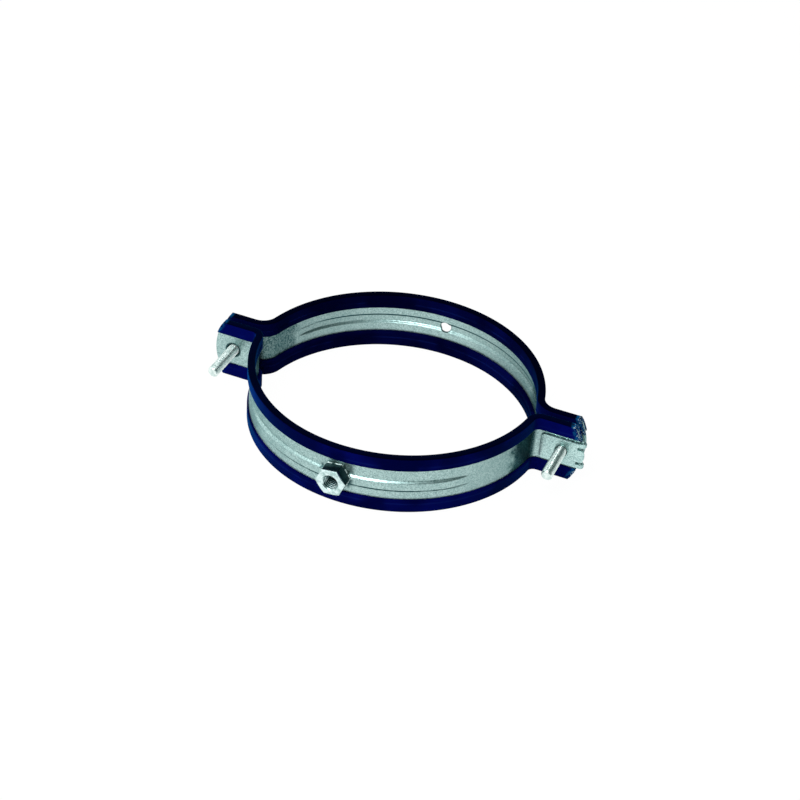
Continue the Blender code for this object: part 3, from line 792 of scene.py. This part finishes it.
def turned(name, profile, place, sides=ROUND_SIDES, closed=False):
    """Solid turned about its own Z from (radius, height) points: from axis to axis, or a closed ring."""
    bm = bmesh.new()
    rings = []
    for radius, height in profile:
        if radius < MERGE:
            rings.append([bm.verts.new((0, 0, height))])
        else:
            ring = arc((0, 0), radius, math.pi / sides, math.tau + math.pi / sides, sides)[:-1]
            rings.append([bm.verts.new((x, y, height)) for x, y in ring])
    pairs = zip(rings, rings[1:] + rings[:1]) if closed else zip(rings, rings[1:])
    for low, high in pairs:
        for k in range(sides):
            following = (k + 1) % sides
            corners = [low[k % len(low)], low[following % len(low)]]
            corners += [high[following % len(high)], high[k % len(high)]]
            corners = list(dict.fromkeys(corners))
            if len(corners) > 2:
                bm.faces.new(corners)
    return add_mesh(name, mesh_from(bm, name, place))


def extruded(bm, way):
    """Gives the faces made so far a thickness."""
    made = bmesh.ops.extrude_face_region(bm, geom=bm.faces[:])
    raised = [v for v in made["geom"] if isinstance(v, bmesh.types.BMVert)]
    bmesh.ops.translate(bm, vec=way, verts=raised)


def prism(name, outline, thickness, place):
    """Flat outline with half its thickness on each side of its own XY plane."""
    bm = bmesh.new()
    bm.faces.new([bm.verts.new((x, y, -thickness / 2)) for x, y in outline])
    extruded(bm, (0, 0, thickness))
    return add_mesh(name, mesh_from(bm, name, place))


def along_y(x, z=0.0):
    """Place of a turned piece whose own +Z runs to the back."""
    return Matrix.Translation((x, 0, z)) @ ALONG_Y


def rod(name, x, diameter, low, high):
    radius = diameter / 2
    return turned(name, [(0, low), (radius, low), (radius, high), (0, high)], along_y(x))


def tell_faces(sheet):
    """Stores which faces of a sheet look towards the clamp's axis, for its finish to read."""
    inner = sheet.data.attributes.new("inner_face", "FLOAT", "FACE")
    for face, stored in zip(sheet.data.polygons, inner.data):
        stored.value = float(face.normal.xy.dot(face.center.xy) < 0.0)


def make_front_band():
    """Half band with the nut: drawn collar in the left ear, open slot in the right, rod hole at the apex."""
    sheet = band_sheet("front_band_sheet", FRONT, FRONT_SHEET)
    back = EAR_BACK + COLLAR_LENGTH
    sheet = boolean(sheet, "UNION", rod("collar", -SCREW_X, COLLAR, EAR_LINE, back))
    bore, front = COLLAR_BORE / 2, EAR_FRONT - CUT_MARGIN
    rim = (bore + COLLAR_MOUTH, EAR_FRONT + COLLAR_MOUTH - MOUTH_PROUD)
    mouth = arc(rim, COLLAR_MOUTH, math.pi, 3 * QUARTER, 8)
    profile = [(0, back + CUT_MARGIN), (bore, back + CUT_MARGIN)] + mouth
    profile += [(bore + COLLAR_MOUTH, front), (0, front)]
    funnel = turned("funnel", profile, along_y(-SCREW_X), THREAD_SIDES)
    slot_end = EAR_END + CUT_MARGIN
    outline = arc((SCREW_X, 0), PASSAGE / 2, QUARTER, 3 * QUARTER, ROUND_SIDES // 2 - 1)
    outline += [(slot_end, -PASSAGE / 2), (slot_end, PASSAGE / 2)]
    slot = prism("slot", outline, 2 * CUT_MARGIN, Matrix.Translation((0, EAR_LINE, 0)) @ FACING_OUT)
    apex = rod("apex", 0, ROD_HOLE, FRONT.crown_y - CUT_MARGIN, FRONT.crown_y + CUT_MARGIN)
    sheet = boolean(sheet, "DIFFERENCE", funnel, slot, apex)
    tell_faces(sheet)
    sheet.data.transform(TO_CLAMP)
    finished(sheet, "front_half", "front_band")


def make_rear_band():
    """Shallower half band, turned round, with a passage for each screw and a bare hole at its apex."""
    sheet = band_sheet("rear_band_sheet", REAR, REAR_SHEET)
    holes = [rod("apex", 0, REAR_HOLE, REAR.crown_y - CUT_MARGIN, REAR.crown_y + CUT_MARGIN)]
    for x in (-SCREW_X, SCREW_X):
        holes.append(rod("passage", x, PASSAGE, EAR_FRONT - CUT_MARGIN, EAR_BACK + CUT_MARGIN))
    sheet = boolean(sheet, "DIFFERENCE", *holes)
    tell_faces(sheet)
    sheet.data.transform(TO_CLAMP @ HALF_TURN)
    finished(sheet, "rear_half", "rear_band")


def line_object(name, points, closed=False):
    data = bpy.data.curves.new(name, "CURVE")
    data.dimensions = "3D"
    spline = data.splines.new("POLY")
    spline.points.add(len(points) - 1)
    for place, point in zip(spline.points, points):
        place.co = (*point, 1)
    spline.use_cyclic_u = closed
    return linked(name, data)


def trim_section():
    """U-section of a trim, its web at the top: thin outer lip, thicker inner lip with a fine rib."""
    slot = HALF_SHEET + LIP_GAP
    outer = HALF_SHEET + SEAT_GAP + OUTER_LIP
    inner = -HALF_SHEET - SEAT_GAP - INNER_LIP
    outer_edge = TRIM_TOP - OUTER_LIP_DEPTH
    inner_edge = TRIM_TOP - INNER_LIP_DEPTH
    shoulder = TRIM_TOP - TRIM_ROUNDING
    points = [(slot, outer_edge)]
    edge = OUTER_LIP_ROUNDING
    points += arc((outer - edge, outer_edge + edge), edge, -QUARTER, 0, 4)
    points += [(outer, outer_edge + OUTER_LIP_DEPTH * i / 4) for i in (1, 2, 3)]
    points += arc((outer - TRIM_ROUNDING, shoulder), TRIM_ROUNDING, 0, QUARTER, 5)
    points += arc((inner + TRIM_ROUNDING, shoulder), TRIM_ROUNDING, QUARTER, 2 * QUARTER, 5)
    rib = TRIM_TOP - RIB_FROM_TOP
    for share, groove in ((1.0, 0.0), (0.6, 1.0), (0.2, 0.0), (-0.2, 0.0), (-0.6, 1.0), (-1.0, 0.0)):
        points.append((inner + groove * RIB_GROOVE, rib + share * RIB_WIDTH))
    edge = INNER_LIP_ROUNDING
    points += arc((inner + edge, inner_edge + edge), edge, 2 * QUARTER, 3 * QUARTER, 6)
    return points + [(-slot, inner_edge), (-slot, TRIM_TOP - WEB), (slot, TRIM_TOP - WEB)]


def make_trims():
    """Rubber on both edges of both halves, its right ends the more worn."""
    points = [(out, z, 0) for out, z in trim_section()]
    section = line_object("trim_section", points, True)
    reach = EAR_END + TRIM_PROUD
    sides = (
        ("front", FRONT, Matrix.Identity(4), FRONT_RUBBER, 1.0),
        ("rear", REAR, HALF_TURN, REAR_SHADED_RUBBER, 0.0),
    )
    for name, half, turn, rubber, worn_end in sides:
        ear = [reach - step for step in CUT_STEPS] + half.ear(reach - CUT_STEPS[-1])[1:]
        path = line_object(name + "_path", [(x, y, 0) for x, y in half.line(ear)])
        for seed, edge in enumerate(("upper", "lower")):
            trim = add_mesh(name + "_" + edge + "_trim", bpy.data.meshes.new("trim"))
            DRAWN_TRIM.put_on(trim, Path=path, Section=section, Ear_From=half.bend_x, Ear_End=reach,
                              End_Radius=EAR_END_RADIUS, Cut_Length=CUT_LENGTH, Crumble=CRUMBLE,
                              Worn_End=worn_end, Waver=TRIM_WAVER, Seed=float(seed), Finish=rubber)
            trim = baked(trim)
            if edge == "upper":
                trim.data.transform(Matrix.Diagonal((1, 1, -1, 1)))
                trim.data.flip_normals()
            trim.data.transform(TO_CLAMP @ turn)
            finished(trim, name + "_half", name + "_" + edge + "_rubber")
        drop(path)
    drop(section)


def spaced(low, high, pitch):
    """Heights along a thread, close enough to show its flanks."""
    steps = round((high - low) / pitch * STEPS_PER_PITCH)
    return [low + (high - low) * i / steps for i in range(steps + 1)]


def hexagon(name, flats, low, high, place):
    """Hexagon along its own Z, turned down round its upper face."""
    corner = flats / math.sqrt(3)
    body = prism(name, arc((0, 0), corner, 0, math.tau, 6)[:-1], high - low,
                 place @ Matrix.Translation((0, 0, (low + high) / 2)))
    face, wide = flats / 2 * HEX_FACE_SHARE, corner + CUT_MARGIN
    fall = (wide - face) * math.tan(HEX_CHAMFER)
    under = low - CUT_MARGIN
    profile = [(0, high), (face, high), (wide, high - fall), (wide, under), (0, under)]
    return boolean(body, "INTERSECT", turned(name + "_turning", profile, place, 2 * ROUND_SIDES))


def make_nut():
    """Rod nut: chamfered hexagon with a countersunk, tapped sleeve set into its plain hole."""
    turn = Matrix.Rotation(NUT_TURN, 4, "Z")
    place = Matrix.Translation((CLAMP.x, 0, CLAMP.z)) @ FACING_OUT @ turn
    low, high = -NUT_HIGH.y, -NUT_LOW.y
    nut = hexagon("rod_nut", NUT_FLATS, low, high, place)
    mouth, core = COUNTERSINK / 2, ROD_THREAD / 2 - ROD_THREAD_DEPTH
    under, over = low - CUT_MARGIN, high + CUT_MARGIN
    hole = [(0, under), (mouth, under), (mouth, over), (0, over)]
    nut = boolean(nut, "DIFFERENCE", turned("hole", hole, place))
    broken_edges(nut, HEX_EDGE, HEX_EDGE_ANGLE)
    nut = baked(nut)
    bottom, top = low + SLEEVE_INSET, high - SLEEVE_INSET
    inside = [(max(core, mouth - high + z), z) for z in spaced(bottom, top, ROD_PITCH)]
    outside = mouth + SLEEVE_WALL
    sleeve = turned("sleeve", inside + [(outside, top), (outside, bottom)], place, THREAD_SIDES, True)
    CUT_THREAD.put_on(sleeve, Axis_X=CLAMP.x, Axis_Z=CLAMP.z, Crest_Radius=core, Pitch=ROD_PITCH,
                      Depth=ROD_THREAD_DEPTH, From=NUT_LOW.y - CUT_MARGIN, To=NUT_HIGH.y + CUT_MARGIN,
                      Fade=THREAD_FADE, Outwards=1.0)
    nut = baked(boolean(nut, "UNION", baked(sleeve)), nut_plating(NUT_LOW.y - CLAMP.y, core))
    finished(nut, "front_half", "connection_nut")


def band_face(x, z):
    """Front face of the front half band, in the clamp's frame."""
    share = (FRONT.bead_foot - 2 * abs(z - FRONT.bead_middle)) / (FRONT.bead_foot - FRONT.bead_crown)
    radius = BAND_RADIUS + HALF_SHEET + BEAD_HEIGHT * min(max(share, 0.0), 1.0)
    return FRONT.arc_shift - math.sqrt(radius ** 2 - x ** 2)


def make_weld():
    """Weld round the nut's foot, between it and the band's face."""
    side, foot = NUT_FLATS / 2 - WELD_SIZE / 2, NUT_HIGH.y - CLAMP.y
    points = []
    for step in range(WELD_POINTS):
        a = math.tau * step / WELD_POINTS
        reach = side / math.cos(a % (math.pi / 3) - math.pi / 6)
        x, z = reach * math.cos(a + NUT_TURN), reach * math.sin(a + NUT_TURN)
        points.append(CLAMP + Vector((x, (band_face(x, z) + foot) / 2, z)))
    path = line_object("weld_path", points, True)
    weld = add_mesh("rod_nut_weld", bpy.data.meshes.new("weld"))
    WELD_BEAD.put_on(weld, Path=path, Lump_Size=WELD_SIZE, Spacing=WELD_SPACING, Voxel=WELD_VOXEL, Seed=5,
                     Finish=WELD)
    weld = baked(weld)
    drop(path)
    finished(weld, "front_half", "nut_weld", math.pi)


def plate_outline():
    """Lock plate seen from the front: round corners, two tabs and a tongue between round notches."""
    near = PLATE_LOW.x - CLAMP.x + PLATE_CORNER
    half, tongue, notch = PLATE_HEIGHT / 2, TONGUE_HEIGHT / 2, NOTCH / 2
    root = (EAR_END - NOTCH_BEHIND_END + notch, tongue + notch)
    tab = EAR_END + HOOK_CLEARANCE
    lean = math.asin(tongue / TONGUE_END_RADIUS)
    upper = arc((EAR_END + TONGUE_REACH - TONGUE_END_RADIUS, 0), TONGUE_END_RADIUS, 0, lean, 6)
    upper += arc(root, notch, 3 * QUARTER, QUARTER, 12)
    upper += [(tab, tongue + NOTCH), (tab, half)]
    upper += arc((near, half - PLATE_CORNER), PLATE_CORNER, QUARTER, 2 * QUARTER, 10)
    return upper + [(x, -z) for x, z in reversed(upper[1:])]


def make_lock_plate():
    """Plate that the right screw goes into, its two tabs bent round the ear's end and back behind the ear."""
    front, back = PLATE_LOW.y - CLAMP.y, EAR_FRONT - SEAT_GAP
    tab, tab_low = EAR_END + HOOK_CLEARANCE, TONGUE_HEIGHT / 2 + NOTCH
    middle = EAR_LINE - (front + back) / 2
    bend = math.pi * middle
    bm = bmesh.new()
    outline = [bm.verts.new((x, front, z)) for x, z in plate_outline()]
    bm.faces.new(outline)
    for side in (1, -1):
        pair = [v for v in outline if v.co.x > tab - MERGE and side * v.co.z > tab_low - MERGE]
        for past in [bend * i / HOOK_STEPS for i in range(1, HOOK_STEPS + 1)] + [bend + HOOK_RETURN]:
            following = [bm.verts.new((tab + past, front, v.co.z)) for v in pair]
            bm.faces.new((pair[0], pair[1], following[1], following[0]))
            pair = following
    extruded(bm, (0, back - front, 0))
    for vert in bm.verts:
        past = vert.co.x - tab
        if past > MERGE and abs(vert.co.z) > tab_low - MERGE:
            radius, a = EAR_LINE - vert.co.y, min(past, bend) / middle
            vert.co.x = tab + radius * math.sin(a) - max(past - bend, 0.0)
            vert.co.y = EAR_LINE - radius * math.cos(a)
    plate = add_mesh("hooked_lock_plate", mesh_from(bm, "hooked_lock_plate"))
    hole = rod("hole", SCREW_X, COLLAR_BORE, back - CUT_MARGIN, EAR_LINE)
    plate = boolean(plate, "DIFFERENCE", hole)
    broken_edges(plate, PLATE_EDGE)
    plate = baked(plate, PLATE_SHEET)
    plate.data.transform(TO_CLAMP)
    finished(plate, "front_half", "lock_plate")


def make_screw(side):
    """Closing screw: threaded shank, slotted hexagon head at the back."""
    low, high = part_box(side + "_screw")
    x, z = (low.x + high.x) / 2, (low.z + high.z) / 2
    place = along_y(x, z)
    under_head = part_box(side + "_washer")[1].y + SEAT_GAP
    radius, root = SCREW_DIAMETER / 2, SCREW_DIAMETER / 2 - SCREW_THREAD_DEPTH
    axis = x - CLAMP.x
    plating = screw_plating(side + "_screw_plating", axis, low.y - CLAMP.y, root, radius - 0.0001)
    chamfer = [(radius - SCREW_TIP * (1 - i / 4), low.y + SCREW_TIP * i / 4) for i in range(4)]
    shank = [(radius, y) for y in spaced(low.y + SCREW_TIP, under_head + HEAD_OVERLAP, SCREW_PITCH)]
    profile = [(0, low.y), (root / 2, low.y)] + chamfer + shank + [(0, under_head + HEAD_OVERLAP)]
    screw = turned(side + "_threaded_screw", profile, place, THREAD_SIDES)
    CUT_THREAD.put_on(screw, Axis_X=x, Axis_Z=z, Crest_Radius=radius, Pitch=SCREW_PITCH,
                      Depth=SCREW_THREAD_DEPTH, From=low.y - CUT_MARGIN, To=under_head, Fade=THREAD_FADE,
                      Outwards=-1.0)
    screw = baked(screw)
    head = hexagon("head", SCREW_HEAD_FLATS, under_head, high.y, place)
    far, near = SCREW_HEAD_FLATS, SLOT_WIDTH / 2
    slot = prism("slot", [(-far, -near), (far, -near), (far, near), (-far, near)], 2 * SLOT_DEPTH,
                 place @ Matrix.Translation((0, 0, high.y)))
    head = boolean(head, "DIFFERENCE", slot)
    broken_edges(head, HEX_EDGE, HEX_EDGE_ANGLE)
    screw = baked(boolean(screw, "UNION", baked(head)), plating)
    finished(screw, side + "_closing_screw", side + "_screw")


def make_washer(side):
    low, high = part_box(side + "_washer")
    place = along_y((low.x + high.x) / 2, (low.z + high.z) / 2)
    outer, inner = (high.x - low.x) / 2, PASSAGE / 2
    profile = [(outer, high.y), (outer, low.y), (inner, low.y), (inner, high.y)]
    washer = turned(side + "_flat_washer", profile, place, closed=True)
    broken_edges(washer, WASHER_EDGE)
    finished(baked(washer, WASHER), "rear_half", side + "_washer")


def make_floor():
    """Plain pale floor that reads white and keeps the clamp's soft shadow."""
    bm = bmesh.new()
    bmesh.ops.create_grid(bm, x_segments=8, y_segments=8, size=FLOOR_HALF)
    mesh = mesh_from(bm, "floor", Matrix.Translation((0, 0, CAD_BOX[0].z - FLOOR_BELOW)))
    finish = Finish("pale_floor", Roughness=0.9, Base_Color=(0.84, 0.84, 0.84))
    path = finish.node("ShaderNodeLightPath")
    seen = finish.math("MAXIMUM", path["Is Glossy Ray"], path["Is Transmission Ray"])
    seen = finish.math("MAXIMUM", path["Is Camera Ray"], seen)
    white = finish.node("ShaderNodeEmission", {"Color": (1, 1, 1), "Strength": FLOOR_STRENGTH})
    lit = Value(finish, finish.shader.outputs[0])
    mix = finish.node("ShaderNodeMixShader", {0: FLOOR_WHITE * seen, 1: lit, 2: white})
    finish.feed(finish.tree.nodes["Material Output"], "Surface", mix)
    add_mesh("floor", mesh, finish.material)


def make_lights():
    for name, (way, distance, size, watts) in LIGHTS.items():
        data = bpy.data.lights.new(name, "AREA")
        data.shape = "RECTANGLE"
        data.size, data.size_y = size
        data.energy = watts
        lamp = linked(name, data)
        toward = Vector(way).normalized()
        lamp.location = CLAMP + toward * distance
        lamp.rotation_euler = (-toward).to_track_quat("-Z", "Y").to_euler()
    world = bpy.data.worlds.new("studio")
    world.use_nodes = True
    background = world.node_tree.nodes["Background"]
    background.inputs["Color"].default_value = (*STUDIO, 1.0)
    background.inputs["Strength"].default_value = 1.0
    bpy.context.scene.world = world


def make_camera():
    a, e, roll = CAMERA_AZIMUTH, CAMERA_ELEVATION, CAMERA_ROLL
    back = Vector((math.sin(a) * math.cos(e), -math.cos(a) * math.cos(e), math.sin(e)))
    right = (-back).cross(Vector((0, 0, 1))).normalized()
    down = (-back).cross(right)
    x_axis = math.cos(roll) * right + math.sin(roll) * down
    y_axis = math.sin(roll) * right - math.cos(roll) * down
    data = bpy.data.cameras.new("camera")
    data.sensor_width = SENSOR_MM
    data.lens = FOCAL_PIXELS / IMAGE_PIXELS * SENSOR_MM
    data.shift_x = 0.5 - PRINCIPAL_PIXEL[0] / IMAGE_PIXELS
    data.shift_y = PRINCIPAL_PIXEL[1] / IMAGE_PIXELS - 0.5
    camera = linked("camera", data)
    turn = Matrix((x_axis, y_axis, back)).transposed().to_4x4()
    ring_middle = CLAMP + Vector((0, (FRONT_ARC_SHIFT - REAR_ARC_SHIFT) / 2, 0))
    camera.matrix_world = Matrix.Translation(ring_middle + back * CAMERA_DISTANCE) @ turn
    bpy.context.scene.camera = camera


def front_sheet():
    """Front band's zinc: painted shade along the bead's lower foot, in the funnel and along the plate, heat
    marks round the weld, and painted shade towards its ends.
    """
    finish = Galvanised("galvanised_front")
    finish.mark_crease_shade(FRONT, -1, 0.35)
    for end in FRONT_END_SHADE:
        finish.mark_end_shade(*end)
    finish.mark_round_shade(-SCREW_X, *FUNNEL_SHADE, 0.9)
    finish.mark_weld()
    finish.mark_seam(EAR_FRONT - HALF_SHEET)
    return finish.done()


def rear_sheet():
    """Rear band's zinc: painted shade along the bead's upper foot, on the hole's wall and inside towards its
    ends.
    """
    finish = Galvanised("galvanised_rear")
    finish.mark_crease_shade(REAR, 1, 0.0)
    for end in REAR_END_SHADE:
        finish.mark_end_shade(*end)
    finish.mark_round_shade(0.0, REAR_HOLE / 2 + 0.0001, REAR_HOLE / 2 + 0.0003, 0.8)
    return finish.done()


def plate_sheet():
    """Lock plate's paler zinc: a painted shadow along its edges, and painted shade round the screw."""
    finish = Galvanised("galvanised_plate")
    finish.mark_seam(EAR_FRONT - SEAT_GAP - SEAM_RISE)
    finish.mark_round_shade(SCREW_X, *SCREW_SHADE, 0.8)
    return finish.done(PLATE_TONE)


FRONT = Half(FRONT_ARC_SHIFT, FRONT_BEND, FRONT_BEAD)
REAR = Half(REAR_ARC_SHIFT, REAR_BEND, REAR_BEAD)
PRESSED_BEAD = pressed_bead_tree()
DRAWN_TRIM = drawn_trim_tree()
CUT_THREAD = cut_thread_tree()
WELD_BEAD = weld_bead_tree()
FRONT_SHEET = front_sheet()
REAR_SHEET = rear_sheet()
PLATE_SHEET = plate_sheet()
WELD = weld_metal()
WASHER = washer_plating()
FRONT_RUBBER = navy_rubber("front_navy_rubber", 1.0, 0.55)
# the rear trims' darker tone is painted shade
REAR_SHADED_RUBBER = navy_rubber("rear_navy_rubber", 0.55, 0.20)

make_front_band()
make_rear_band()
make_trims()
make_nut()
make_weld()
make_lock_plate()
for screw_side in ("left", "right"):
    make_screw(screw_side)
    make_washer(screw_side)
make_floor()
make_lights()
make_camera()
bpy.context.scene.view_settings.view_transform = "Standard"
